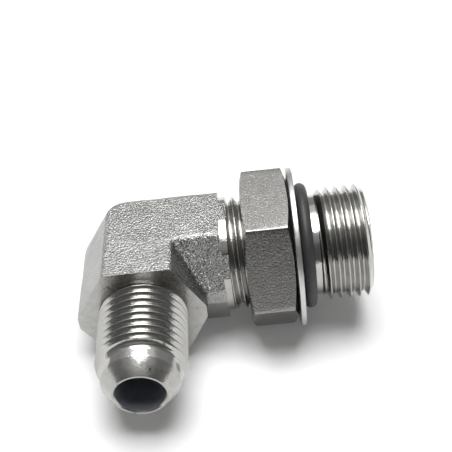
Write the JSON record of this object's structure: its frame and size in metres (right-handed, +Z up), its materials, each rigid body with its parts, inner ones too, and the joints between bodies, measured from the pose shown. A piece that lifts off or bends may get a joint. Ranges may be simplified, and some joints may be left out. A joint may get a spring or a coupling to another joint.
{
  "type": "adjustable 90 degree elbow fitting",
  "caption": "Forged steel hydraulic elbow: a male 37 degree flare end at right angles to an O-ring boss stud with locknut, back-up washer and O-ring",
  "frame": {"origin": "where the axes of the two drilled passages cross, inside the forging", "axes": "+X along the stud end, -Y along the flare end, +Z up out of the plane of the two axes"},
  "size_m": [0.0484, 0.0431, 0.0268],
  "materials": {
    "elbow_steel": "zinc plated steel, forged skin shot-blasted, ends turned",
    "nut_steel": "zinc plated steel, fine grained flats",
    "washer_steel": "zinc plated pressed steel, satin",
    "ring_rubber": "matt moulded rubber"
  },
  "bodies": {
    "elbow": {"elbow_body": "elbow_steel", "o_ring": "ring_rubber"},
    "washer": {"backup_washer": "washer_steel"},
    "nut": {"locknut": "nut_steel"}
  },
  "joints": [
    {"name": "washer_slide", "type": "slide", "parent": "elbow", "child": "washer", "axis": [1, 0, 0], "range_m": [-0.0024, 0]},
    {"name": "locknut_turn", "type": "hinge", "parent": "washer", "child": "nut", "pos_m": [0.02105, 0, 0], "axis": [1, 0, 0], "range_deg": [-540, 0]}
  ],
  "couplings": [
    {"joint": "washer_slide", "follows": "locknut_turn", "m_per_rad": 0.00025266}
  ]
}
